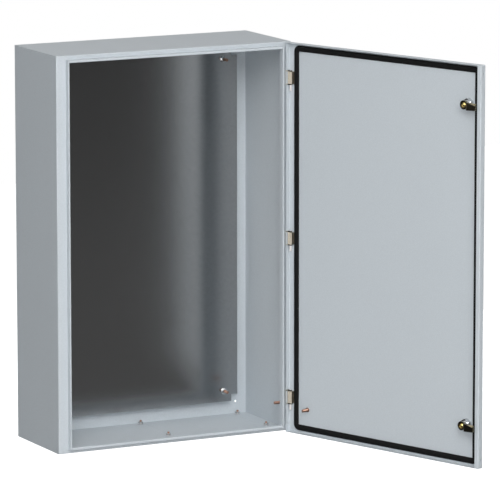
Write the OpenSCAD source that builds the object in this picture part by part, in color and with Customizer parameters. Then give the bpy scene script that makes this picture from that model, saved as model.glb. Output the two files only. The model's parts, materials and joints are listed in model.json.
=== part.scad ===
// Steel wall enclosure: a folded and welded cabinet with a mounting plate,
// a gland plate and one door on three pin hinges with two quarter-turn locks.
//
// Frame: the origin is the middle of the four wall-fixing holes, on the outer
// rear face. +X is right, +Y is towards the wall and +Z is up. Pieces are drawn
// from the lower left corner of the front face and moved into that frame last.

/* [Body] */
// Width of the body
body_w = 650; // [500:10:800]
// Height of the body
body_h = 1000; // [800:10:1200]
// Depth of the body, from the front flange to the wall
body_d = 250; // [200:5:300]
// Thickness of the steel sheet
sheet = 1.5; // [1.2:0.1:1.6]
// Outer radius of the folded edges
bend_r = 3; // [2.5:0.5:4]

/* [Sealing frame] */
// Width of the front flange at the two sides, up to the sealing edge
side_flange = 25.6; // [25:0.1:27]
// Height of the front flange at top and bottom, up to the sealing edge
end_flange = 10.5; // [9:0.5:12]
// How far the sealing edge stands in front of the flange
seal_edge_out = 15; // [13:0.5:15]
// Width of the folded sealing edge at the two sides
side_edge_w = 3.8; // [3.6:0.1:4.5]
// Width of the folded sealing edge at top and bottom
end_edge_w = 6.2; // [4:0.1:7]

/* [Door] */
// Opening angle that the door is drawn at
door_angle = 109.4; // [0:0.1:115]
// Depth of the door tray
door_depth = 17.6; // [17:0.1:19]
// Depth of the door's edge on the hinge side, cut back to swing clear
hinge_edge_depth = 14; // [12:0.5:14]
// Width of the return on the free edge of the door
door_return = 11.5; // [8:0.5:12]
// Width of the foam gasket
gasket_w = 15.6; // [14:0.1:16]
// Height of the foam gasket
gasket_h = 5.5; // [4:0.1:5.5]
// Free space between the gasket and the sealing edge with the door closed
gasket_gap = 0.4; // [0.3:0.1:1]

/* [Hinges] */
// Distance of the outer hinges from the top and the bottom
hinge_from_end = 90; // [70:5:150]
// Hinge axis to the side of the door
axis_from_side = 8.7; // [8.6:0.1:8.8]
// Hinge axis to the outer face of the door
axis_from_face = 5.6; // [5.6:0.1:5.8]
// Height of the hinge block on the door
hinge_block_h = 31; // [24:1:40]
// Diameter of the hinge pin
hinge_pin_d = 4; // [3.5:0.1:4]
// Diameter of the grip at the lower end of the pin
pin_grip_d = 6.2; // [5:0.1:6.4]
// Length of the grip at the lower end of the pin
pin_grip_h = 14; // [8:1:20]

/* [Locks] */
// Lock axis to the free edge of the door
lock_from_edge = 50; // [48:1:60]
// Upper lock axis to the top of the door
lock_from_top = 100.5; // [80:0.5:160]
// Lower lock axis to the bottom of the door
lock_from_bottom = 103.5; // [80:0.5:160]
// Diameter of the lock housing
lock_body_d = 22; // [20:0.5:24]
// Diameter of the key insert
lock_insert_d = 14; // [12:0.5:15]
// Length of the cam, from the lock axis to its tip
cam_reach = 41; // [38:1:44]
// Width of the cam's tongue
cam_w = 20; // [16:1:21]
// Thickness of the cam's tongue
cam_t = 5; // [4.5:0.5:6]

/* [Mounting plate] */
// Mounting plate to the outer side of the body
plate_from_side = 38; // [38:1:80]
// Mounting plate to the top and the bottom of the body
plate_from_end = 40.5; // [38:0.5:80]
// Thickness of the mounting plate
plate_t = 2.5; // [2:0.5:3]
// Front face of the mounting plate to the wall
plate_stand = 25; // [25:1:40]
// Side of the square notches in the plate's four corners
plate_notch = 17.5; // [12:0.5:18]
// Plate fixings, distance from the side of the plate
plate_fix_x = 38; // [30:1:60]
// Plate fixings, distance from the top and the bottom of the plate
plate_fix_z = 27; // [24:1:60]

/* [Wall fixing] */
// Distance of the wall holes from the sides of the body
wall_hole_x = 31.5; // [30:0.5:34]
// Distance of the wall holes from the top and the bottom of the body
wall_hole_z = 33; // [30:0.5:36]
// Diameter of the wall holes
wall_hole_d = 5; // [4:0.5:10]

/* [Gland plate] */
// Spacing of the gland plate studs along the width
gland_stud_x = 279; // [200:1:279]
// Right-hand gland plate studs to the right side of the body
gland_from_side = 31; // [22:1:60]
// Front gland plate studs to the front of the body
gland_from_front = 75; // [60:1:82]
// Rear gland plate studs to the wall
gland_from_wall = 13; // [13:1:40]
// Thickness of the gland plate
gland_t = 1.5; // [1.2:0.1:2]
// Overlap of the gland plate beyond its studs
gland_rim = 11; // [10:0.5:11]
// Thickness of the flat seal under the bottom
gland_seal_t = 1.5; // [1:0.5:3]

/* [Fasteners] */
// Diameter of the plate and earth studs
stud_d = 8; // [6:1:8]
// Diameter of the gland plate studs
gland_stud_d = 6; // [5:1:6]
// Length of the earth studs
earth_stud_l = 20; // [16:1:25]

/* [Hidden] */
$fn = 64;

steel_grey = "#c9d0d6";
galvanised = "#8f9599";
foam_black = "#1c1c1d";
copper = "#c58a6c";
zinc_yellow = "#cdc0a2";
brass = "#8d7c46";
nut_silver = "#b9bcbf";

cut = 1;                              // cutting bodies reach this far past what they cut
fold_r = sheet;                       // outer radius of the tight folds of the sealing edge
seal_edge_back = sheet;               // the fold-back ends level with the flange's back

// Door, drawn closed: its outer face is door_y in front of the flange.
door_y = -(seal_edge_out + gasket_h + gasket_gap + sheet);
door_inner_y = door_y + sheet;
door_back_y = door_y + door_depth;
axis_x = body_w - axis_from_side;
axis_y = door_y + axis_from_face;
// The free edge carries its gasket a little further out than the hinge edge.
gasket_free = 23.3;                   // centre line to the free edge
gasket_hinge = 26.4;                  // centre line to the hinge edge
gasket_end = 14.4;                    // centre line to top and bottom
gasket_corner = 8.5;                  // radius of the centre line at the corners
drain_hole_d = 4;                     // holes in the door's edges, near the corners
drain_hole_z = 22;
drain_hole_y = door_y + 8.5;

// Hinges
hinge_heights = [body_h - hinge_from_end, body_h / 2, hinge_from_end];
lug_t = 2.5;                          // thickness of the two lugs of a bracket
lug_gap = 0.3;                        // between a lug and the block
lug_nose_r = axis_from_face - sheet - 0.4;
arm_w = 5;                            // width of a lug where it crosses the door's edge
arm_right_x = axis_x - 0.6;           // right side of that arm
bracket_foot_w = 10.8;                // foot on the flange
bracket_foot_t = 1.5;
bracket_h = hinge_block_h + 2 * (lug_gap + lug_t);
block_x = 14;                         // hinge block across the door
block_y = 9;                          // hinge block off the door's inner face
block_from_side = 3.4;                // block to the side of the door
pin_fit = 0.05;                       // running clearance of the pin in the block
pin_end = 1;                          // pin above the upper lug, and chamfer of its grip
slot_gap = 0.6;                       // free space round a lug in the door's edge

// Locks, measured from the door's outer face along the lock axis
lock_x = lock_from_edge;
upper_lock_z = body_h - lock_from_top;
lower_lock_z = lock_from_bottom;
lock_flat = lock_body_d - 2;          // across the two flats of the housing
lock_head_d = lock_body_d + 7;
lock_head_t = 2.4;
lock_seal_t = 1;
lock_nut_af = lock_body_d + 5;
lock_nut_t = 10;
insert_fit = 0.05;                    // running clearance of the insert
tongue_in = sheet - door_y + 0.6;     // tongue of the cam, just behind the flange
cam_head_d = 22.5;
cam_head_t = 6;                       // head, from the insert to the tongue's level
cam_floor_t = 3;                      // of the head, under the bolt
cam_bolt_d = 15;                      // recess in the head for the bolt
cam_riser_x = 9.5;                    // step from head to tongue, off the lock axis
cam_bend_r = 5;
cam_drop = 2.5;                       // middle of the tongue below the lock axis
cam_nose_r = 3;
cam_taper_up = 0.7;                   // tongue's upper and lower edges draw in to the tip
cam_taper_down = 1.7;
cam_ramp_x = 14;                      // start of the ramp along the tongue's upper edge
cam_ramp_w = 6.2;                     // its width and depth at the tip
cam_ramp_t = 4;
cam_in = tongue_in - cam_head_t;      // seat of the cam on the insert
lock_body_in = cam_in - 0.4;          // inner end of the housing
shank = 8;                            // square on the end of the insert
bolt_af = 10;
bolt_head_t = 2.6;
bolt_shank_d = 6;
bolt_grip = 8;                        // depth of the bolt's hole in the insert

// Mounting plate
stud_fit = 0.6;                       // holes and tubes are this much wider than their stud
plate_x0 = plate_from_side;
plate_z0 = plate_from_end;
plate_w = body_w - 2 * plate_from_side;
plate_h = body_h - 2 * plate_from_end;
plate_front_y = body_d - plate_stand;
plate_back_y = plate_front_y + plate_t;
plate_nut_t = 8;
plate_stud_tip = 12;                  // stud beyond the nut
spacer_d = 16;

// Gland plate
gland_x1 = body_w - gland_from_side;
gland_x0 = gland_x1 - gland_stud_x;
gland_y0 = gland_from_front;
gland_y1 = body_d - gland_from_wall;
gland_stud_y = gland_y1 - gland_y0;
gland_edge = 11;                      // floor left between the studs and the opening
gland_pad_gap = 0.5;                  // round the plate's raised middle
gland_corner = 4;                     // corner radius of plate and seal
gland_nut_t = 6;
gland_stud_tip = 4;
floor_hole_d = gland_stud_d + stud_fit;

// Earth studs
earth_y = 49;                         // body stud behind the front flange
earth_z = 63.5;
door_earth_x = 65;                    // door stud to the hinge edge
collar_d = 11;
collar_t = 2;

// ---------------------------------------------------------------- placing

// From the lower left corner of the front face to the part's own origin.
module in_frame() {
    translate([-body_w / 2, -body_d, -body_h / 2]) children();
}

// Swings what is drawn on the closed door to its opening angle.
module on_door() {
    in_frame()
        translate([axis_x, axis_y, 0])
            rotate([0, 0, door_angle])
                translate([-axis_x, -axis_y, 0]) children();
}

// Lock frame: +Z runs inwards from the door's outer face, +X to the free edge.
module at_lock(z) {
    on_door() translate([lock_x, door_y, z]) rotate([-90, 0, 0]) rotate([0, 0, 180]) children();
}

// ---------------------------------------------------------------- helpers

module block(x0, y0, z0, x1, y1, z1) {
    translate([x0, y0, z0]) cube([x1 - x0, y1 - y0, z1 - z0]);
}

// Rectangle with rounded corners, its lower left corner at the origin.
module round_rect(w, h, r) {
    translate([r, 0]) square([w - 2 * r, h]);
    translate([0, r]) square([w, h - 2 * r]);
    for (x = [r, w - r], y = [r, h - r])
        translate([x, y]) circle(r);
}

function unit(v) = v / norm(v);

// Straight length of sheet between two points of its centre line.
module strip(a, b) {
    d = unit(b - a);
    s = [abs(d[1]), abs(d[0])] * sheet / 2;
    low = [min(a[0], b[0]), min(a[1], b[1])] - s;
    high = [max(a[0], b[0]), max(a[1], b[1])] + s;
    translate(low) square(high - low);
}

// Quarter ring that joins two strips at corner p, with centre-line radius r.
module bend(p, d_in, d_out, r) {
    centre = p - d_in * r + d_out * r;
    reach = (d_in - d_out) * (r + sheet);
    translate(centre)
        intersection() {
            difference() {
                circle(r + sheet / 2);
                if (r > sheet / 2)
                    circle(r - sheet / 2);
            }
            translate([min(reach[0], 0), min(reach[1], 0)]) square([abs(reach[0]), abs(reach[1])]);
        }
}

// Folded sheet: pts are the centre line's corners, radii the bend at each.
module folded(pts, radii) {
    last = len(pts) - 1;
    for (i = [0 : last - 1]) {
        d = unit(pts[i + 1] - pts[i]);
        strip(pts[i] + d * radii[i], pts[i + 1] - d * radii[i + 1]);
    }
    for (i = [1 : last - 1])
        bend(pts[i], unit(pts[i] - pts[i - 1]), unit(pts[i + 1] - pts[i]), radii[i]);
}

// ---------------------------------------------------------------- cabinet

half = sheet / 2;
wide = bend_r - half;
tight = fold_r - half;

// Sealing edge and flange of one edge, from the outer wall inwards: s runs
// along the flange, d is the depth. Ends at the wall's far end.
function frame_path(flange, edge_w, wall_end) = [
    [flange + edge_w - half, seal_edge_back],
    [flange + edge_w - half, half - seal_edge_out],
    [flange + half, half - seal_edge_out],
    [flange + half, half],
    [half, half],
    wall_end
];
frame_radii = [0, tight, tight, tight, wide, 0];

// Side walls and rear wall, folded from one sheet.
module shell_profile() {
    for (side = [0, 1])
        translate([side * body_w, 0])
            mirror([side, 0])
                folded(
                    concat(
                        frame_path(side_flange, side_edge_w, [half, body_d - half]),
                        [[body_w / 2, body_d - half]]
                    ),
                    [0, tight, tight, tight, wide, wide, 0]
                );
}

module body_shell() {
    color(steel_grey) in_frame()
        difference() {
            translate([0, 0, sheet]) linear_extrude(body_h - 2 * sheet) shell_profile();
            // the sealing edge stops where those of the top and bottom begin
            for (z = [[0, end_flange], [body_h - end_flange, body_h]]) {
                block(side_flange, -body_d, z[0], body_w - side_flange, bend_r + seal_edge_back, z[1]);
                block(0, -body_d, z[0], body_w, 0, z[1]);
            }
            // room for the front fold of the top and bottom panels
            for (z = [[0, bend_r], [body_h - bend_r, body_h]])
                block(-cut, -cut, z[0], body_w + cut, bend_r, z[1]);
            for (x = [wall_hole_x, body_w - wall_hole_x], z = [wall_hole_z, body_h - wall_hole_z])
                translate([x, body_d + cut, z]) rotate([90, 0, 0]) cylinder(d = wall_hole_d, h = sheet + 2 * cut);
        }
}

// End panel with its folded front edge, drawn with the sheet at the bottom.
module end_panel() {
    edge_x = side_flange + side_edge_w;
    difference() {
        intersection() {
            rotate([90, 0, 90]) linear_extrude(body_w)
                mirror([1, -1]) folded(frame_path(end_flange, end_edge_w, [half, body_d]), frame_radii);
            // plan of the panel, with rounded rear corners like the shell's
            translate([0, -body_d, -cut]) linear_extrude(body_h) round_rect(body_w, 2 * body_d, bend_r);
        }
        for (x = [[-cut, edge_x], [body_w - edge_x, body_w + cut]])
            block(x[0], -body_d, end_flange, x[1], bend_r + seal_edge_back, body_h);
        for (x = [[-cut, side_flange], [body_w - side_flange, body_w + cut]]) {
            block(x[0], -body_d, bend_r, x[1], bend_r + seal_edge_back, body_h);
            block(x[0], -body_d, -cut, x[1], 0, body_h);
        }
    }
}

module top_panel() {
    color(steel_grey) in_frame() translate([0, 0, body_h]) mirror([0, 0, 1]) end_panel();
}

module bottom_panel() {
    color(steel_grey) in_frame()
        difference() {
            end_panel();
            gland_middle(0, -cut, sheet + cut);
            at_gland_studs() translate([0, 0, -cut]) cylinder(d = floor_hole_d, h = sheet + 2 * cut);
        }
}

// ---------------------------------------------------------------- fasteners

// Hexagon nut with a flange under it, bored for its stud.
module flange_nut(d, h) {
    af = d * 1.6;
    difference() {
        union() {
            cylinder(d = d * 2.1, h = h * 0.25);
            cylinder(d = af / cos(30), h = h, $fn = 6);
        }
        translate([0, 0, -cut]) cylinder(d = d, h = h + 2 * cut);
    }
}

// Welded stud: collar at its foot and a chamfered tip.
module weld_stud(d, l, foot_d, foot_t) {
    tip = 1;
    cylinder(d = foot_d, h = foot_t);
    cylinder(d = d, h = l - tip);
    translate([0, 0, l - tip]) cylinder(d1 = d, d2 = d - 2 * tip, h = tip);
}

// ---------------------------------------------------------------- mounting plate

// Plate fixings, with +Z pointing out of the plate to the front.
module at_plate_fixings(y) {
    for (x = [plate_x0 + plate_fix_x, plate_x0 + plate_w - plate_fix_x],
         z = [plate_z0 + plate_fix_z, plate_z0 + plate_h - plate_fix_z])
        translate([x, y, z]) rotate([90, 0, 0]) children();
}

module mounting_plate() {
    color(galvanised) in_frame()
        difference() {
            block(plate_x0, plate_front_y, plate_z0, plate_x0 + plate_w, plate_back_y, plate_z0 + plate_h);
            for (x = [plate_x0, plate_x0 + plate_w], z = [plate_z0, plate_z0 + plate_h])
                translate([x, plate_front_y, z])
                    cube([2 * plate_notch, 4 * plate_t, 2 * plate_notch], center = true);
            at_plate_fixings(plate_back_y + cut) cylinder(d = stud_d + stud_fit, h = plate_t + 2 * cut);
        }
}

module mounting_plate_studs() {
    stud_l = plate_stand - sheet + plate_nut_t + plate_stud_tip;
    color(copper) in_frame()
        at_plate_fixings(body_d - sheet) weld_stud(stud_d, stud_l, stud_d, collar_t);
}

// Tubes that hold the plate off the rear wall.
module mounting_plate_spacers() {
    color(nut_silver) in_frame()
        at_plate_fixings(body_d - sheet)
            difference() {
                cylinder(d = spacer_d, h = plate_stand - sheet - plate_t);
                translate([0, 0, -cut]) cylinder(d = stud_d + stud_fit, h = plate_stand);
            }
}

module mounting_plate_nuts() {
    color(nut_silver) in_frame() at_plate_fixings(plate_front_y) flange_nut(stud_d, plate_nut_t);
}

// ---------------------------------------------------------------- gland plate

module at_gland_studs() {
    for (x = [gland_x0, gland_x1], y = [gland_y0, gland_y1])
        translate([x, y, 0]) children();
}

// Outline of plate and seal, round the studs.
module gland_outline() {
    translate([gland_x0 - gland_rim, gland_y0 - gland_rim])
        round_rect(gland_stud_x + 2 * gland_rim, gland_stud_y + 2 * gland_rim, gland_corner);
}

// Middle of the plate, inset by a margin from the edges of the floor opening.
module gland_middle(margin, z0, z1) {
    m = gland_edge + margin;
    block(gland_x0 + m, gland_y0 + m, z0, gland_x1 - m, gland_y1 - m, z1);
}

// Pressed plate: its raised middle fills the floor opening and ends level with the floor.
module gland_plate() {
    z = -gland_seal_t - gland_t;
    color(steel_grey) in_frame()
        difference() {
            union() {
                translate([0, 0, z]) linear_extrude(gland_t) gland_outline();
                gland_middle(gland_pad_gap, z, sheet);
            }
            gland_middle(gland_pad_gap + gland_t, z - cut, sheet - gland_t);
        }
}

// Flat foam frame between the gland plate and the bottom.
module gland_plate_seal() {
    color(foam_black) in_frame()
        difference() {
            translate([0, 0, -gland_seal_t]) linear_extrude(gland_seal_t) gland_outline();
            gland_middle(0, -gland_seal_t - cut, cut);
            at_gland_studs() translate([0, 0, -gland_seal_t - cut])
                cylinder(d = floor_hole_d, h = gland_seal_t + 2 * cut);
        }
}

module gland_plate_studs() {
    stud_l = gland_seal_t + sheet + gland_nut_t + gland_stud_tip;
    color(copper) in_frame()
        at_gland_studs() translate([0, 0, -gland_seal_t]) weld_stud(gland_stud_d, stud_l, gland_stud_d, collar_t);
}

module gland_plate_nuts() {
    color(nut_silver) in_frame()
        at_gland_studs() translate([0, 0, sheet]) flange_nut(gland_stud_d, gland_nut_t);
}

module body_earth_stud() {
    color(copper) in_frame()
        translate([body_w - sheet, earth_y, earth_z]) rotate([0, -90, 0])
            weld_stud(stud_d, earth_stud_l, collar_d, collar_t);
}

// ---------------------------------------------------------------- hinges

// Bracket on the side flange: a foot and two lugs with the pin between them.
module hinge_bracket(z) {
    foot_x = arm_right_x - arm_w;
    color(zinc_yellow) in_frame()
        difference() {
            union() {
                block(foot_x, -bracket_foot_t, z - bracket_h / 2, foot_x + bracket_foot_w, 0, z + bracket_h / 2);
                for (low = [z - bracket_h / 2, z + bracket_h / 2 - lug_t])
                    translate([0, 0, low]) linear_extrude(lug_t) lug_outline();
            }
            translate([axis_x, axis_y, z - bracket_h]) cylinder(d = hinge_pin_d, h = 2 * bracket_h);
        }
}

// Straight arm from the flange that turns to a round nose about the pin.
module lug_outline() {
    x0 = arm_right_x - arm_w;
    translate([axis_x, axis_y]) circle(lug_nose_r);
    polygon([
        [x0, 0], [x0, axis_y + lug_nose_r], [axis_x - 0.4 * lug_nose_r, axis_y - 0.9 * lug_nose_r],
        [axis_x, axis_y], [arm_right_x, axis_y + lug_nose_r], [arm_right_x, 0]
    ]);
}

// Pin through both lugs and the block, with a grip below the lower lug.
module hinge_pin(z) {
    low = z - bracket_h / 2;
    color("#d8d4d2") in_frame()
        translate([axis_x, axis_y, low]) {
            cylinder(d = hinge_pin_d, h = bracket_h + pin_end);
            translate([0, 0, -pin_grip_h]) cylinder(d = pin_grip_d, h = pin_grip_h);
            translate([0, 0, -pin_grip_h - pin_end])
                cylinder(d1 = pin_grip_d - 2 * pin_end, d2 = pin_grip_d, h = pin_end);
        }
}

// Block welded inside the door, bored for the pin.
module hinge_block(z) {
    x1 = body_w - block_from_side;
    color(zinc_yellow) on_door()
        difference() {
            block(x1 - block_x, door_inner_y, z - hinge_block_h / 2,
                  x1, door_inner_y + block_y, z + hinge_block_h / 2);
            translate([axis_x, axis_y, z - hinge_block_h])
                cylinder(d = hinge_pin_d + 2 * pin_fit, h = 2 * hinge_block_h);
        }
}

module hinge_bracket_top() { hinge_bracket(hinge_heights[0]); }
module hinge_bracket_middle() { hinge_bracket(hinge_heights[1]); }
module hinge_bracket_bottom() { hinge_bracket(hinge_heights[2]); }
module hinge_pin_top() { hinge_pin(hinge_heights[0]); }
module hinge_pin_middle() { hinge_pin(hinge_heights[1]); }
module hinge_pin_bottom() { hinge_pin(hinge_heights[2]); }
module hinge_block_top() { hinge_block(hinge_heights[0]); }
module hinge_block_middle() { hinge_block(hinge_heights[1]); }
module hinge_block_bottom() { hinge_block(hinge_heights[2]); }

// ---------------------------------------------------------------- door

// Tray with rounded front edges: w by h, depth d, edges of radius r.
module tray_body(w, d, h, r) {
    intersection() {
        linear_extrude(h) round_rect(w, d, r);
        rotate([90, 0, 90]) linear_extrude(w) round_rect(d, h, r);
        translate([0, d, 0]) rotate([90, 0, 0]) linear_extrude(d) round_rect(w, h, r);
    }
}

module door_panel() {
    inner_r = bend_r - sheet;
    color(steel_grey) on_door()
        difference() {
            translate([0, door_y, 0]) tray_body(body_w, door_depth, body_h, bend_r);
            translate([sheet, door_inner_y, sheet])
                tray_body(body_w - 2 * sheet, door_depth - 2 * sheet, body_h - 2 * sheet, inner_r);
            // open back: only the free edge keeps a return
            block(door_return, door_back_y - bend_r, sheet, body_w - sheet, door_back_y + cut, body_h - sheet);
            // hinge edge cut back
            block(body_w - door_return, door_y + hinge_edge_depth, sheet, body_w + cut, door_back_y + cut, body_h - sheet);
            for (z = hinge_heights) hinge_slots(z);
            for (z = [upper_lock_z, lower_lock_z])
                translate([lock_x, door_y - cut, z]) rotate([-90, 0, 0])
                    linear_extrude(sheet + 2 * cut) lock_hole(lock_body_d + 0.4, lock_flat + 0.4);
            for (z = [drain_hole_z, body_h - drain_hole_z])
                translate([-cut, drain_hole_y, z]) rotate([0, 90, 0]) cylinder(d = drain_hole_d, h = body_w + 2 * cut);
        }
}

// Slots in the hinge edge, one for each lug of a bracket.
module hinge_slots(z) {
    slot_h = lug_t + 2 * slot_gap;
    for (middle = [z - bracket_h / 2 + lug_t / 2, z + bracket_h / 2 - lug_t / 2])
        block(body_w - bend_r, door_inner_y + 0.4, middle - slot_h / 2,
              body_w + cut, door_back_y + cut, middle + slot_h / 2);
}

// Foam bead with a domed section, laid round the door's inner face.
module door_gasket() {
    x0 = gasket_free;
    x1 = body_w - gasket_hinge;
    z0 = gasket_end;
    z1 = body_h - gasket_end;
    r = gasket_corner;
    color(foam_black) on_door() translate([0, door_inner_y, 0]) {
        for (x = [x0, x1])
            translate([x, 0, z0 + r]) linear_extrude(z1 - z0 - 2 * r) bead();
        for (z = [z0, z1])
            translate([x0 + r, 0, z]) rotate([90, 0, 90]) linear_extrude(x1 - x0 - 2 * r) rotate([0, 0, -90]) bead();
        for (corner = [[x0 + r, z0 + r, 180], [x1 - r, z0 + r, 270], [x1 - r, z1 - r, 0], [x0 + r, z1 - r, 90]])
            translate([corner[0], 0, corner[1]]) rotate([-90, 0, 0]) mirror([0, 1, 0])
                rotate([0, 0, corner[2]]) rotate_extrude(angle = 90) translate([r, 0]) bead();
    }
}

// Section of the bead: a segment of a circle that stands on y = 0.
module bead() {
    radius = (gasket_w * gasket_w / 4 + gasket_h * gasket_h) / (2 * gasket_h);
    intersection() {
        translate([0, gasket_h - radius]) circle(radius);
        translate([-gasket_w, 0]) square([2 * gasket_w, gasket_h + 1]);
    }
}

module door_earth_stud() {
    color(copper) on_door()
        translate([body_w - door_earth_x, door_inner_y, earth_z]) rotate([-90, 0, 0])
            weld_stud(stud_d, earth_stud_l, collar_d, collar_t);
}

// ---------------------------------------------------------------- locks

// Round with two flats, so that the housing can't turn in the door.
module lock_hole(d, flat) {
    intersection() {
        circle(d = d);
        square([flat, d], center = true);
    }
}

module lock_housing(z) {
    color(nut_silver) at_lock(z)
        difference() {
            union() {
                translate([0, 0, -lock_head_t - lock_seal_t]) cylinder(d = lock_head_d, h = lock_head_t);
                translate([0, 0, -lock_seal_t]) linear_extrude(lock_body_in + lock_seal_t) lock_hole(lock_body_d, lock_flat);
            }
            translate([0, 0, -lock_head_t - lock_seal_t - cut])
                cylinder(d = lock_insert_d + 2 * insert_fit, h = lock_body_in + 2 * lock_head_t + 2 * cut);
        }
}

module lock_seal(z) {
    color(foam_black) at_lock(z)
        translate([0, 0, -lock_seal_t])
            difference() {
                cylinder(d = lock_head_d - 1, h = lock_seal_t);
                translate([0, 0, -cut]) cylinder(d = lock_body_d, h = lock_seal_t + 2 * cut);
            }
}

module lock_nut(z) {
    color("#d6d8da") at_lock(z)
        translate([0, 0, sheet])
            difference() {
                rotate(30) cylinder(d = lock_nut_af / cos(30), h = lock_nut_t, $fn = 6);
                translate([0, 0, -cut]) cylinder(d = lock_body_d, h = lock_nut_t + 2 * cut);
            }
}

// Turning insert: key recess with a double-bit post outside, square inside.
module lock_insert(z) {
    front = -lock_head_t - lock_seal_t + 0.4;
    recess_d = 9;
    recess_h = 8;
    post_d = 3;
    bit_w = 7;
    bit_t = 1.5;
    color("#9aa0a4") at_lock(z) {
        difference() {
            translate([0, 0, front]) cylinder(d = lock_insert_d, h = cam_in - front);
            translate([0, 0, front - cut]) cylinder(d = recess_d, h = recess_h + cut);
            translate([0, 0, cam_in - bolt_grip]) cylinder(d = bolt_shank_d, h = bolt_grip + cut);
        }
        translate([0, 0, front + 1]) {
            cylinder(d = post_d, h = recess_h);
            translate([-bit_w / 2, -bit_t / 2, 0]) cube([bit_w, bit_t, recess_h]);
        }
        difference() {
            translate([-shank / 2, -shank / 2, cam_in]) cube([shank, shank, cam_floor_t - 0.2]);
            cylinder(d = bolt_shank_d, h = tongue_in);
        }
    }
}

// Step and tongue of the cam from the side: x to the tip, y inwards from the seat.
module cam_profile() {
    top = cam_head_t + cam_t;
    bend_x = cam_riser_x + cam_bend_r;
    translate([cam_riser_x, 0]) square([cam_t, top - cam_bend_r]);
    translate([bend_x, cam_head_t]) square([cam_reach - bend_x, cam_t]);
    intersection() {
        translate([bend_x, top - cam_bend_r]) circle(cam_bend_r);
        translate([cam_riser_x, top - cam_bend_r]) square(cam_bend_r + 0.1);
    }
}

// Tongue of the cam from the front: it narrows to a tip with rounded corners.
module tongue_outline(upper) {
    lower = upper - cam_w;
    x1 = cam_reach - cam_nose_r;
    y0 = lower + cam_taper_down;
    y1 = upper - cam_taper_up;
    polygon([[0, lower], [x1, y0], [x1, y1], [0, upper]]);
    translate([x1 - 0.1, y0 + cam_nose_r]) square([cam_nose_r + 0.1, y1 - y0 - 2 * cam_nose_r]);
    for (y = [y0, y1 - 2 * cam_nose_r])
        translate([x1, y + cam_nose_r]) circle(cam_nose_r);
}

// Cam: round head with a recess for its bolt, and a stepped tongue that goes
// behind the flange. The tongue's leading edge is a ramp that widens to the tip.
module lock_cam(z) {
    top = cam_head_t + cam_t;
    upper = cam_w / 2 - cam_drop;
    ramp_l = cam_reach - cam_ramp_x;
    ramp = [cam_ramp_w * cam_ramp_t, ramp_l * cam_ramp_t, ramp_l * cam_ramp_w];
    color(brass) at_lock(z)
        translate([0, 0, cam_in])
            difference() {
                union() {
                    cylinder(d = cam_head_d, h = cam_head_t);
                    intersection() {
                        translate([0, upper, 0]) rotate([90, 0, 0]) linear_extrude(cam_w) cam_profile();
                        linear_extrude(top) tongue_outline(upper);
                    }
                }
                translate([0, 0, cam_floor_t]) cylinder(d = cam_bolt_d, h = cam_head_t);
                translate([-shank / 2, -shank / 2, -cut]) cube([shank, shank, cam_head_t]);
                translate([cam_ramp_x, upper, top])
                    rotate([0, acos(ramp[2] / norm(ramp)), atan2(ramp[1], ramp[0])])
                        translate([-cam_reach, -cam_reach, 0]) cube(2 * cam_reach);
            }
}

// Bolt with washer that clamps the cam on the insert.
module lock_bolt(z) {
    washer_t = 1;
    color("#d9bf58") at_lock(z)
        translate([0, 0, cam_in + cam_floor_t]) {
            cylinder(d = bolt_shank_d * 2.1, h = washer_t);
            translate([0, 0, washer_t]) cylinder(d = bolt_af / cos(30), h = bolt_head_t, $fn = 6);
            translate([0, 0, 1 - cam_floor_t - bolt_grip]) cylinder(d = bolt_shank_d, h = cam_floor_t + bolt_grip - 1);
        }
}

module upper_lock_housing() { lock_housing(upper_lock_z); }
module upper_lock_seal() { lock_seal(upper_lock_z); }
module upper_lock_nut() { lock_nut(upper_lock_z); }
module upper_lock_insert() { lock_insert(upper_lock_z); }
module upper_lock_cam() { lock_cam(upper_lock_z); }
module upper_lock_bolt() { lock_bolt(upper_lock_z); }
module lower_lock_housing() { lock_housing(lower_lock_z); }
module lower_lock_seal() { lock_seal(lower_lock_z); }
module lower_lock_nut() { lock_nut(lower_lock_z); }
module lower_lock_insert() { lock_insert(lower_lock_z); }
module lower_lock_cam() { lock_cam(lower_lock_z); }
module lower_lock_bolt() { lock_bolt(lower_lock_z); }

// ---------------------------------------------------------------- nodes

body_shell();
top_panel();
bottom_panel();
mounting_plate();
mounting_plate_studs();
mounting_plate_spacers();
mounting_plate_nuts();
gland_plate();
gland_plate_seal();
gland_plate_studs();
gland_plate_nuts();
body_earth_stud();
hinge_bracket_top();
hinge_bracket_middle();
hinge_bracket_bottom();
hinge_pin_top();
hinge_pin_middle();
hinge_pin_bottom();
door_panel();
door_gasket();
door_earth_stud();
hinge_block_top();
hinge_block_middle();
hinge_block_bottom();
upper_lock_housing();
upper_lock_seal();
upper_lock_nut();
upper_lock_insert();
upper_lock_cam();
upper_lock_bolt();
lower_lock_housing();
lower_lock_seal();
lower_lock_nut();
lower_lock_insert();
lower_lock_cam();
lower_lock_bolt();
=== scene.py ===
# Steel wall enclosure with its door open: folded and welded sheet steel, powder
# coated, with a bare galvanised mounting plate, plated hinges, studs and locks.
import bpy
import bmesh
import json
import math
from mathutils import Matrix, Vector, noise


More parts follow.
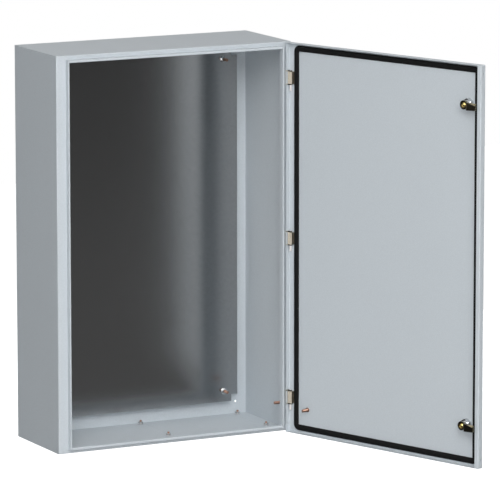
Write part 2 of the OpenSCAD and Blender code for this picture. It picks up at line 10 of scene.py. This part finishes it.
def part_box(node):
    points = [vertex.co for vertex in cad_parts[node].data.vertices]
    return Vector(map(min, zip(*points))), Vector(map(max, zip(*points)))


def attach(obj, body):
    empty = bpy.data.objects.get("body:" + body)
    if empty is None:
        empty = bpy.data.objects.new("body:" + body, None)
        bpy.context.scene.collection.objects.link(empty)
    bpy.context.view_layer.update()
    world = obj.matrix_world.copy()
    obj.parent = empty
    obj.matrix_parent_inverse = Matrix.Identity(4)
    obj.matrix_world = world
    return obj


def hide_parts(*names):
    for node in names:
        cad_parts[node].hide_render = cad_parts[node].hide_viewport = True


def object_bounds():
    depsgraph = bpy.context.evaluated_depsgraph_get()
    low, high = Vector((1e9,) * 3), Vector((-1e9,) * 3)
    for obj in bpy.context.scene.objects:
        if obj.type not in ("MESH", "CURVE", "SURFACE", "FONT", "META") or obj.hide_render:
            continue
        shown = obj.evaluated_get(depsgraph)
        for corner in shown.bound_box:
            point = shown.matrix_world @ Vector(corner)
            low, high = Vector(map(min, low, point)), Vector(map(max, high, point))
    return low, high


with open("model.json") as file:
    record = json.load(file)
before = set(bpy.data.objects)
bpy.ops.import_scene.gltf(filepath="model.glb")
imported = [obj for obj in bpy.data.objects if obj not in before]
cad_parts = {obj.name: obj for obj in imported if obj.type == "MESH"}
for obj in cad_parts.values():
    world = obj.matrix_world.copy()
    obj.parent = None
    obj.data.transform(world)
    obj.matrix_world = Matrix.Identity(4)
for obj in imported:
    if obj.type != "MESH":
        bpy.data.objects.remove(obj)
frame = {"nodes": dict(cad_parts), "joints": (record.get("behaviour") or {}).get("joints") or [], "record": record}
nodes = frame["nodes"]
cad_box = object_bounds()

# ---------------------------------------------------------------- camera and studio
# A long lens stands well back, to the left of the cabinet and a little above it. The
# cabinet hangs over a matt floor in a white surround, among six large soft boxes.
scene = bpy.context.scene
scene.view_settings.view_transform = "Standard"
look_down, roll, swing_right = 9.77, 0.03, 27.07
cam_data = bpy.data.cameras.new("view")
cam_data.lens = 338.1
cam_data.sensor_width = 36
cam = bpy.data.objects.new("view", cam_data)
cam.location = (-5.1084, -10.6578, 1.9880)
cam.rotation_euler = (math.radians(90 - look_down), math.radians(roll), math.radians(-swing_right))
scene.collection.objects.link(cam)
scene.camera = cam


def add(tree, kind, inputs=None, **settings):
    node = tree.nodes.new(kind)
    for key, value in settings.items():
        setattr(node, key, value)
    for key, value in (inputs or {}).items():
        if isinstance(value, bpy.types.NodeSocket):
            tree.links.new(value, node.inputs[key])
        else:
            node.inputs[key].default_value = value
    return node


def ranged(tree, value, before, after, **settings):
    ends = {"From Min": before[0], "From Max": before[1], "To Min": after[0], "To Max": after[1]}
    return add(tree, "ShaderNodeMapRange", {"Value": value, **ends}, **settings).outputs[0]


def light_path(tree, kind):
    return add(tree, "ShaderNodeLightPath").outputs[f"Is {kind} Ray"]


def grey(level):
    return (level, level, level, 1)


# The camera sees white all round. Metal mirrors a white room above the horizon and a
# dark, unlit one below it, and everything gets a faint, cool fill light.
dark_below, white_above = -0.08, 0.45
world = bpy.data.worlds.new("studio")
scene.world = world
world.use_nodes = True
tree = world.node_tree
tree.nodes.clear()
fill = add(tree, "ShaderNodeBackground", {"Color": (0.93, 0.965, 1, 1), "Strength": 0.08})
direction = add(tree, "ShaderNodeTexCoord").outputs["Generated"]
upward = add(tree, "ShaderNodeSeparateXYZ", {0: direction}).outputs["Z"]
level = ranged(tree, upward, (dark_below, white_above), (0.05, 1.0), interpolation_type="SMOOTHSTEP")
room = add(tree, "ShaderNodeBackground", {"Color": grey(1), "Strength": level})
white = add(tree, "ShaderNodeBackground", {"Color": grey(1), "Strength": 1})
glossy_or_clear = {0: light_path(tree, "Glossy"), 1: light_path(tree, "Transmission")}
mirrors = add(tree, "ShaderNodeMath", glossy_or_clear, operation="MAXIMUM").outputs[0]
lit = add(tree, "ShaderNodeMixShader", {0: mirrors, 1: fill.outputs[0], 2: room.outputs[0]})
lit_or_seen = {0: light_path(tree, "Camera"), 1: lit.outputs[0], 2: white.outputs[0]}
shown = add(tree, "ShaderNodeMixShader", lit_or_seen)
add(tree, "ShaderNodeOutputWorld", {"Surface": shown.outputs[0]})

floor_half, floor_drop = 9, 0.9
corners = [(floor_half * x, floor_half * y, 0) for x, y in ((-1, -1), (1, -1), (1, 1), (-1, 1))]
floor_mesh = bpy.data.meshes.new("floor")
floor_mesh.from_pydata(corners, [], [(0, 1, 2, 3)])
floor = bpy.data.objects.new("floor", floor_mesh)
floor.location = (0, 0, cad_box[0].z - floor_drop)
scene.collection.objects.link(floor)

# The floor is matt, and pure white to the camera. Metal sees it unlit, with a weak glow
# that grows from left to right.
glow_from, glow_to, glow_strength = -4, 2, 0.08
floor_mat = bpy.data.materials.new("floor_white")
floor_mat.use_nodes = True
tree = floor_mat.node_tree
tree.nodes.clear()
tone = add(tree, "ShaderNodeMix", {"Factor": light_path(tree, "Glossy"), "A": grey(0.80), "B": grey(0.05)},
           data_type="RGBA")
matt = add(tree, "ShaderNodeBsdfDiffuse", {"Color": tone.outputs["Result"]})
spot = add(tree, "ShaderNodeTexCoord").outputs["Object"]
across = add(tree, "ShaderNodeSeparateXYZ", {0: spot}).outputs["X"]
glow = ranged(tree, across, (glow_from, glow_to), (0.0, glow_strength))
mirrored = add(tree, "ShaderNodeMath", {0: glow, 1: light_path(tree, "Glossy")}, operation="MULTIPLY")
bright = add(tree, "ShaderNodeMath", {0: mirrored.outputs[0], 1: light_path(tree, "Camera")}, operation="ADD")
lift = add(tree, "ShaderNodeEmission", {"Color": grey(1), "Strength": bright.outputs[0]})
both = add(tree, "ShaderNodeAddShader", {0: matt.outputs[0], 1: lift.outputs[0]})
add(tree, "ShaderNodeOutputMaterial", {"Surface": both.outputs[0]})
floor_mesh.materials.append(floor_mat)

# Each soft box by its stand, measured from the point that it is aimed at, its side in
# metres and its power in watts.
lamp_aim = Vector((0.1, -0.3, 0))
for name, stand, side, power in (
    ("high_box", (-2.6, -5.5, 4.4), 5.0, 226),
    ("low_box", (-1.6, -6.2, 1.4), 5.0, 152),
    ("front_box", (-2.6, -5.5, 3.6), 2.6, 42),
    ("left_box", (-6.5, -1.5, 2.0), 5.0, 50),
    ("top_box", (0, -1.0, 6.8), 3.0, 55),
    ("back_box", (4.4, 5.2, -0.5), 1.6, 140),
):
    lamp_data = bpy.data.lights.new(name, "AREA")
    lamp_data.size = side
    lamp_data.energy = power
    lamp = bpy.data.objects.new(name, lamp_data)
    lamp.location = lamp_aim + Vector(stand)
    lamp.rotation_euler = (-Vector(stand)).to_track_quat("-Z", "Y").to_euler()
    scene.collection.objects.link(lamp)

# ---------------------------------------------------------------- painted steel
# Body, gland plate and door are folded from 1.5 mm sheet steel, welded at the corners
# and powder coated light grey, which leaves a fine orange peel with a soft gloss.
def new_material(name, rough, metal=0.0, specular=0.5):
    mat = bpy.data.materials.new(name)
    mat.use_nodes = True
    shader = mat.node_tree.nodes["Principled BSDF"]
    shader.inputs["Roughness"].default_value = rough
    shader.inputs["Metallic"].default_value = metal
    shader.inputs["Specular IOR Level"].default_value = specular
    return mat, mat.node_tree, shader


def multiplied(tree, colour, shade):
    return add(tree, "ShaderNodeMix", {"Factor": 1.0, "A": colour, "B": shade},
               data_type="RGBA", blend_type="MULTIPLY").outputs["Result"]


def grain(tree, scale, detail=2, rough=0.5, stretch=(1, 1, 1)):
    spot = add(tree, "ShaderNodeTexCoord").outputs["Object"]
    laid = add(tree, "ShaderNodeMapping", {"Scale": stretch, "Vector": spot}).outputs[0]
    return add(tree, "ShaderNodeTexNoise",
               {"Scale": scale, "Detail": detail, "Roughness": rough, "Vector": laid}).outputs["Fac"]


# Grain lies mostly between a quarter and three quarters, which spans the two shades.
def flecked(tree, colour, flecks, shades):
    return multiplied(tree, colour, ranged(tree, grain(tree, *flecks), (0.25, 0.75), shades))


def pitted(tree, shader, pits, strength, depth):
    height = grain(tree, *pits)
    bump = add(tree, "ShaderNodeBump", {"Strength": strength, "Distance": depth, "Height": height})
    tree.links.new(bump.outputs[0], shader.inputs["Normal"])


# The plain case: one colour, broken by flecks and pits, each given as grain's own values.
def surface(name, colour, rough, flecks, shades, pits, strength, depth, **gloss):
    mat, tree, shader = new_material(name, rough, **gloss)
    tree.links.new(flecked(tree, (*colour, 1), flecks, shades), shader.inputs["Base Color"])
    pitted(tree, shader, pits, strength, depth)
    return mat


def dress(node, mat):
    nodes[node].data.materials.clear()
    nodes[node].data.materials.append(mat)


paint = surface("light_grey_powder_coat", (0.605, 0.653, 0.690), 0.44, flecks=(450, 3, 0.6),
                shades=(0.94, 1.06), pits=(650, 2, 0.6), strength=0.35, depth=0.0007, specular=0.35)
for node in ("body_shell", "top_panel", "bottom_panel", "gland_plate", "door_panel"):
    dress(node, paint)

# ---------------------------------------------------------------- mounting plate
# A flat 2.5 mm plate of bare galvanised sheet, notched at its corners. Its skin of zinc
# is smooth from the mill and mirrors softly what stands round it, with a fine spangle.
zinc_sheet, tree, shader = new_material("galvanised_sheet", 0.17, metal=1.0)
spot = add(tree, "ShaderNodeTexCoord").outputs["Object"]
spangle = add(tree, "ShaderNodeTexVoronoi", {"Scale": 160, "Vector": spot}).outputs["Color"]
spangled = multiplied(tree, grey(0.45), ranged(tree, spangle, (0, 1), (0.96, 1.04)))
tree.links.new(spangled, shader.inputs["Base Color"])
pitted(tree, shader, pits=(300,), strength=0.05, depth=0.0002)
dress("mounting_plate", zinc_sheet)

# ---------------------------------------------------------------- mounting plate's fixings
# Four copper plated M8 studs, with a rolled thread and a chamfered end, are welded to the
# rear wall. The plate sits on them against zinc plated tubes, under flanged nuts.
m8, m8_pitch = 0.008, 0.00125


# A finished piece takes its node's place, and is smooth up to its sharp edges.
def finish_piece(name, shape, mat, body, node):
    crease = math.radians(30)
    bmesh.ops.recalc_face_normals(shape, faces=shape.faces)
    for edge in shape.edges:
        edge.smooth = len(edge.link_faces) == 2 and edge.calc_face_angle(0) < crease
    for face in shape.faces:
        face.smooth = True
    mesh = bpy.data.meshes.new(name)
    shape.to_mesh(mesh)
    shape.free()
    mesh.materials.append(mat)
    obj = bpy.data.objects.new(name, mesh)
    scene.collection.objects.link(obj)
    obj.modifiers.new("flat_faces", "WEIGHTED_NORMAL").keep_sharp = True
    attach(obj, body)
    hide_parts(node)


# Solids made of rings of points, closed on themselves as a nut is, or capped at both ends.
def ringed(name, solids, closed, mat, body, node):
    shape = bmesh.new()
    for rings in solids:
        rows = [[shape.verts.new(point) for point in ring] for ring in rings]
        n = len(rows[0])
        for i in range(len(rows) if closed else len(rows) - 1):
            here, after = rows[i], rows[(i + 1) % len(rows)]
            for k in range(n):
                shape.faces.new((here[k], here[(k + 1) % n], after[(k + 1) % n], after[k]))
        if not closed:
            shape.faces.new(rows[0][::-1])
            shape.faces.new(rows[-1])
    finish_piece(name, shape, mat, body, node)


# A turned profile, as heights with their radii. A radius may depend on the angle.
def turned(place, profile, sides=48):
    rings = []
    for z, radius in profile:
        ring = []
        for k in range(sides):
            a = math.tau * k / sides
            r = radius(a) if callable(radius) else radius
            ring.append(place @ Vector((r * math.cos(a), r * math.sin(a), z)))
        rings.append(ring)
    return rings


def facing(point, axis):
    return Matrix.Translation(point) @ Vector(axis).to_track_quat("Z", "Y").to_matrix().to_4x4()


def thread_radius(z, pitch, crest, limit):
    depth = 0.55 * pitch
    return lambda a: min(limit, crest - depth * abs((z / pitch - a / math.tau) % 1 * 2 - 1))


def threaded(place, thread, pitch, length, collar_width=0, collar_height=0):
    crest = thread / 2
    chamfer = 0.001
    fillet = 0.0002
    steps_per_pitch = 4
    profile = [(0, collar_width / 2), (collar_height, collar_width / 2)] if collar_width else []
    start = collar_height + fillet
    profile.append((start, crest))
    steps = round((length - start) / (pitch / steps_per_pitch))
    for i in range(steps + 1):
        z = start + (length - start) * i / steps
        limit = min(crest, crest - chamfer + (length - z))
        profile.append((z, thread_radius(z, pitch, crest, limit)))
    return turned(place, profile, sides=24)


def hexagon(half):
    return lambda a: half / math.cos((a + math.pi / 6) % (math.pi / 3) - math.pi / 6)


# A hexagon with its corners turned down to a circle, as at the end of a chamfered nut.
def crown(half, round_at):
    return lambda a: min(hexagon(half)(a), half * round_at)


# A hexagon nut on a rolled flange, drawn in shares of its thread and of its height.
def flanged_nut(place, thread, height):
    flange, flats, bore = 1.05 * thread, 0.8 * thread, 0.5 * thread
    profile = [(0, bore), (0, 0.96 * flange), (0.05 * height, flange), (0.16 * height, flange),
               (0.25 * height, hexagon(flats)), (0.9 * height, hexagon(flats)), (height, crown(flats, 1.02)),
               (height, 1.12 * bore), (0.93 * height, bore)]
    return turned(place, profile)


# A solid with its sharp edges rounded off, as tumbling, plating or squeezing leaves them.
def softened(node, width, mat, body):
    flat, sharp = math.radians(0.5), math.radians(40)
    shape = bmesh.new()
    shape.from_mesh(nodes[node].data)
    bmesh.ops.remove_doubles(shape, verts=shape.verts, dist=1e-6)
    bmesh.ops.dissolve_limit(shape, angle_limit=flat, verts=shape.verts, edges=shape.edges)
    rims = [e for e in shape.edges if len(e.link_faces) == 2 and e.calc_face_angle(0) > sharp]
    bmesh.ops.bevel(shape, geom=rims, offset=width, segments=3, profile=0.5, affect="EDGES",
                    clamp_overlap=True)
    finish_piece("rounded_" + node, shape, mat, body, node)


copper = surface("copper_plate", (0.46, 0.28, 0.21), 0.45, flecks=(500, 3), shades=(0.75, 1.15),
                 pits=(900,), strength=0.15, depth=0.0001, metal=1.0)
bright_zinc = surface("bright_zinc_plate", (0.66, 0.67, 0.68), 0.24, flecks=(600, 3), shades=(0.85, 1.1),
                      pits=(800,), strength=0.08, depth=0.0001, metal=1.0)
outward = (0, -1, 0)
low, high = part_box("mounting_plate_studs")
nut_low, nut_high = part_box("mounting_plate_nuts")
plate_spots = [(x, z) for x in (low.x + m8 / 2, high.x - m8 / 2) for z in (low.z + m8 / 2, high.z - m8 / 2)]
ringed("plate_studs", [threaded(facing((x, high.y, z), outward), m8, m8_pitch, high.y - low.y)
                       for x, z in plate_spots], False, copper, "cabinet", "mounting_plate_studs")
ringed("plate_nuts", [flanged_nut(facing((x, nut_high.y, z), outward), m8, nut_high.y - nut_low.y)
                      for x, z in plate_spots], True, bright_zinc, "cabinet", "mounting_plate_nuts")
softened("mounting_plate_spacers", 0.0004, bright_zinc, "cabinet")

# ---------------------------------------------------------------- gland plate's fixings
# Four copper plated M6 studs stand on the gland plate and pass up through the floor, where
# flanged nuts hold it. The nuts have bare tops, and their sides are painted darker: painted shade.
zinc_nut_with_painted_side_shade, tree, shader = new_material("zinc_nut_painted_side_shade", 0.34, metal=1.0)
normal = add(tree, "ShaderNodeTexCoord").outputs["Normal"]
upward = add(tree, "ShaderNodeSeparateXYZ", {0: normal}).outputs["Z"]
bare = flecked(tree, (0.92, 0.92, 0.93, 1), flecks=(600, 3), shades=(0.85, 1.1))
# Faces turned away from up are painted down to 0.45 of the top's colour: painted shade.
sides_painted_dark = multiplied(tree, bare, ranged(tree, upward, (0.1, 0.6), (0.45, 1.0)))
tree.links.new(sides_painted_dark, shader.inputs["Base Color"])

m6, m6_pitch = 0.006, 0.001
low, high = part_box("gland_plate_studs")
nut_low, nut_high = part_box("gland_plate_nuts")
gland_spots = [(x, y) for x in (low.x + m6 / 2, high.x - m6 / 2) for y in (low.y + m6 / 2, high.y - m6 / 2)]
ringed("gland_studs", [threaded(facing((x, y, low.z), (0, 0, 1)), m6, m6_pitch, high.z - low.z)
                       for x, y in gland_spots], False, copper, "cabinet", "gland_plate_studs")
ringed("gland_nuts", [flanged_nut(facing((x, y, nut_low.z), (0, 0, 1)), m6, nut_high.z - nut_low.z)
                      for x, y in gland_spots], True, zinc_nut_with_painted_side_shade, "cabinet", "gland_plate_nuts")

# ---------------------------------------------------------------- earth studs
# One copper plated M8 stud with a contact collar is welded to the right wall near the
# floor, and one inside the door, low down near its hinged edge, each for an earth lead.
collar_width, collar_height = 0.011, 0.002
low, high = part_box("body_earth_stud")
wall_point = facing((high.x, (low.y + high.y) / 2, (low.z + high.z) / 2), (-1, 0, 0))
ringed("body_earth_terminal",
       [threaded(wall_point, m8, m8_pitch, high.x - low.x, collar_width, collar_height)],
       False, copper, "cabinet", "body_earth_stud")

# The door's own pieces are laid out on the closed door and swung open with it, about the
# hinge axis, by the angle that the hinge can close.
hinge = next(j for j in frame["joints"] if j["child"] == "door")
hinge_at = Vector(hinge["pos_m"])
swing = Matrix.Rotation(math.radians(-hinge["range_deg"][0]), 4, "Z")
door_turn = Matrix.Translation(hinge_at) @ swing @ Matrix.Translation(-hinge_at)
inward = door_turn.to_3x3() @ Vector((0, 1, 0))


# How far a node reaches along the door's inward direction, measured from a point.
def reach(node, point):
    along = [(v.co - point).dot(inward) for v in nodes[node].data.vertices]
    return min(along), max(along)


earth = next(m for m in frame["record"]["mounts"] if m["name"] == "door_earth_terminal")
earth_at = Vector(earth["pos_m"])
stud_foot, stud_tip = reach("door_earth_stud", earth_at)
door_point = facing(earth_at + stud_foot * inward, inward)
ringed("door_earth_terminal_stud",
       [threaded(door_point, m8, m8_pitch, stud_tip - stud_foot, collar_width, collar_height)],
       False, copper, "door", "door_earth_stud")

# ---------------------------------------------------------------- hinges
# Zinc brackets on the flange hold a removable steel pin, and a zinc block welded in the
# door turns on it. The zinc has a warm passivation. The lugs round the pin are painted dark,
# as painted shade, and the block's inward face is satin and painted lighter: painted light.
painted_shade_to, painted_shade_gone_from = 0.0060, 0.0080
warm_zinc, tree, shader = new_material("warm_zinc", 0.24, metal=1.0)
spot = add(tree, "ShaderNodeTexCoord").outputs["Object"]
flat = add(tree, "ShaderNodeVectorMath", {0: spot, 1: (1, 1, 0)}, operation="MULTIPLY").outputs[0]
from_pin = add(tree, "ShaderNodeVectorMath", {0: flat, 1: (hinge_at.x, hinge_at.y, 0)}, operation="DISTANCE")
# Within a few millimetres of the pin the colour is darkened to 0.06: painted shade on the lugs.
outside_painted_shade = ranged(tree, from_pin.outputs["Value"], (painted_shade_to, painted_shade_gone_from), (0.06, 1.0))
warm = flecked(tree, (0.93, 0.85, 0.70, 1), flecks=(400, 3), shades=(0.85, 1.1))
tree.links.new(multiplied(tree, warm, outside_painted_shade), shader.inputs["Base Color"])
pitted(tree, shader, pits=(700,), strength=0.1, depth=0.0001)

block_zinc, tree, shader = new_material("block_zinc", 0.3)
normal = add(tree, "ShaderNodeTexCoord").outputs["Normal"]
face = add(tree, "ShaderNodeVectorMath", {0: normal, 1: inward}, operation="DOT_PRODUCT").outputs["Value"]
satin_and_painted_light_face = ranged(tree, face, (0.6, 0.95), (0, 1))
# Faces turned inward are painted lighter than the rest (painted light), and are also rougher and less metallic.
tone = add(tree, "ShaderNodeMix", {"Factor": satin_and_painted_light_face, "A": (0.52, 0.46, 0.36, 1), "B": (0.76, 0.68, 0.55, 1)},
           data_type="RGBA").outputs["Result"]
aged = flecked(tree, tone, flecks=(500, 3), shades=(0.85, 1.1))
tree.links.new(aged, shader.inputs["Base Color"])
for socket, plain_and_satin in (("Metallic", (0.85, 0.25)), ("Roughness", (0.3, 0.5))):
    tree.links.new(ranged(tree, satin_and_painted_light_face, (0, 1), plain_and_satin), shader.inputs[socket])
pitted(tree, shader, pits=(800,), strength=0.12, depth=0.0001)

drawn_lengthways = (1, 1, 0.1)
pin_steel = surface("satin_pin", (0.90, 0.87, 0.86), 0.40, flecks=(700, 2), shades=(0.9, 1.05),
                    pits=(900, 2, 0.5, drawn_lengthways), strength=0.1, depth=0.0001, metal=0.15)
for at in ("top", "middle", "bottom"):
    softened("hinge_bracket_" + at, 0.0004, warm_zinc, "cabinet")
    softened("hinge_pin_" + at, 0.0003, pin_steel, "cabinet")
    softened("hinge_block_" + at, 0.0006, block_zinc, "door")

# ---------------------------------------------------------------- door gasket
# Polyurethane foam, poured on the door in one run round the four sides, so its ends
# meet in a slight swelling. It stands as a black domed bead with a closed, uneven skin.
foam = surface("black_foam", (0.0085, 0.0087, 0.0090), 0.75, flecks=(500, 3), shades=(0.7, 1.3),
               pits=(1100, 3), strength=0.35, depth=0.0004, specular=0.12)
bead_width, bend = 0.0156, 0.0085
point_spacing, bend_steps, dome_steps = 0.006, 8, 16
corner_to_ends, swelling_half = 0.12, 0.009

points = [door_turn.inverted() @ v.co for v in nodes["door_gasket"].data.vertices]
low = Vector([min(p[i] for p in points) for i in range(3)])
high = Vector([max(p[i] for p in points) for i in range(3)])
bead_height = high.y - low.y
left, right = low.x + bead_width / 2, high.x - bead_width / 2
foot, head = low.z + bead_width / 2, high.z - bead_width / 2

# The bead's middle line, as an arc at each corner and the straight that follows it. A
# point is its x and z on the closed door and the direction out across the bead.
line = []
for x, z, start, step_x, step_z in ((right - bend, foot + bend, -90, 0, 1),
                                    (right - bend, head - bend, 0, -1, 0),
                                    (left + bend, head - bend, 90, 0, -1),
                                    (left + bend, foot + bend, 180, 1, 0)):
    for k in range(bend_steps + 1):
        a = math.radians(start + 90 * k / bend_steps)
        line.append((x + bend * math.cos(a), z + bend * math.sin(a), math.cos(a), math.sin(a)))
    run = abs(step_x) * (right - left) + abs(step_z) * (head - foot) - 2 * bend
    from_x, from_z, out_x, out_z = line[-1]
    steps = round(run / point_spacing)
    for k in range(1, steps):
        line.append((from_x + step_x * run * k / steps, from_z + step_z * run * k / steps, out_x, out_z))

# The dome over that line. Its width and height wander by a few hundredths, and swell
# where the ends meet on the lower side.
rings = []
for x, z, out_x, out_z in line:
    on_foot = z < foot + 0.001
    swelling = math.exp(-(((x - right + corner_to_ends) / swelling_half) ** 2)) if on_foot else 0
    wide = 0.98 + 0.03 * noise.noise(Vector((x, 3, z)) * 45) + 0.01 * swelling
    rise = 0.97 + 0.04 * noise.noise(Vector((x, 7, z)) * 60) + 0.03 * swelling
    ring = []
    for k in range(dome_steps + 1):
        a = math.pi * k / dome_steps
        off = bead_width / 2 * min(1, wide) * math.cos(a)
        up = bead_height * min(1, rise) * math.sin(a) ** 0.85
        ring.append(door_turn @ Vector((x + off * out_x, low.y + up, z + off * out_z)))
    rings.append(ring)
ringed("door_gasket_bead", [rings], True, foam, "door", "door_gasket")

# ---------------------------------------------------------------- flat seals
# A flat rubber seal lies under the cabinet round the gland opening, and a thin one under
# each lock's head. Cut from sheet, they are squeezed, so that their edges have rounded.
rubber = surface("black_rubber", (0.014, 0.014, 0.015), 0.6, flecks=(300, 3), shades=(0.7, 1.3),
                 pits=(900,), strength=0.2, depth=0.0002, specular=0.3)
softened("gland_plate_seal", 0.0004, rubber, "cabinet")
softened("upper_lock_seal", 0.0003, rubber, "door")
softened("lower_lock_seal", 0.0003, rubber, "door")

# ---------------------------------------------------------------- locks
# Each cam lock is a chrome-plated die casting held by a nut, with a turning insert for
# a key, and a dark passivated cam clamped on it by a domed yellow bolt.
chrome = surface("lock_chrome", (0.62, 0.63, 0.64), 0.09, flecks=(300, 2), shades=(0.95, 1.03),
                 pits=(500,), strength=0.05, depth=0.0001, metal=1.0)
dark_zinc = surface("dark_passivated_cam", (0.27, 0.24, 0.165), 0.14, flecks=(500, 3), shades=(0.85, 1.15),
                    pits=(600, 3), strength=0.15, depth=0.0001, metal=1.0)
yellow_zinc = surface("yellow_bolt", (0.90, 0.72, 0.28), 0.24, flecks=(700, 2), shades=(0.85, 1.1),
                      pits=(800,), strength=0.08, depth=0.0001, metal=1.0)
insert_zinc = surface("insert_zinc", (0.55, 0.56, 0.57), 0.30, flecks=(500, 2), shades=(0.9, 1.08),
                      pits=(700,), strength=0.1, depth=0.0001, metal=1.0)
nut_wall, nut_chamfer, bore_chamfer = 0.0025, 0.0004, 0.0005
shank_tip, shank, key_flats = 0.0026, 0.003, 0.0050
washer_foot, washer, washer_top = 0.0061, 0.0063, 0.0062
head_height, dome_radius = 0.0036, 0.0062
dome_rings = (0.0048, 0.0043, 0.0038, 0.0032, 0.0026, 0.0020, 0.0014, 0.0008, 0.0003)

for lock in ("upper_lock", "lower_lock"):
    axis_at = Vector(next(j for j in frame["joints"] if j["child"] == lock)["pos_m"])
    on_axis = facing(axis_at, inward)
    softened(lock + "_housing", 0.0004, chrome, "door")
    softened(lock + "_insert", 0.0002, insert_zinc, lock)
    softened(lock + "_cam", 0.0005, dark_zinc, lock)

    seat, top = reach(lock + "_nut", axis_at)
    low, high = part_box(lock + "_nut")
    flats = (high.z - low.z) / 2 * math.cos(math.pi / 6)
    bore = flats - nut_wall
    nut = [(seat, bore), (seat, crown(flats, 1.11)), (seat + nut_chamfer, hexagon(flats)),
           (top - nut_chamfer, hexagon(flats)), (top, crown(flats, 1.11)), (top, bore + nut_chamfer),
           (top - bore_chamfer, bore)]
    ringed(lock + "_hexagon_nut", [turned(on_axis, nut)], True, chrome, "door", lock + "_nut")

    end, top = reach(lock + "_bolt", axis_at)
    seat = top - head_height
    dome = [(top - dome_radius + math.sqrt(dome_radius ** 2 - r ** 2), r) for r in dome_rings]
    bolt = [(end, shank_tip), (end + 0.0005, shank), (seat, shank), (seat, washer_foot),
            (seat + 0.0002, washer), (seat + 0.0006, washer_top), (seat + 0.0007, hexagon(key_flats)),
            (seat + 0.0012, hexagon(key_flats)), *dome]
    ringed(lock + "_domed_bolt", [turned(on_axis, bolt)], False, yellow_zinc, lock, lock + "_bolt")
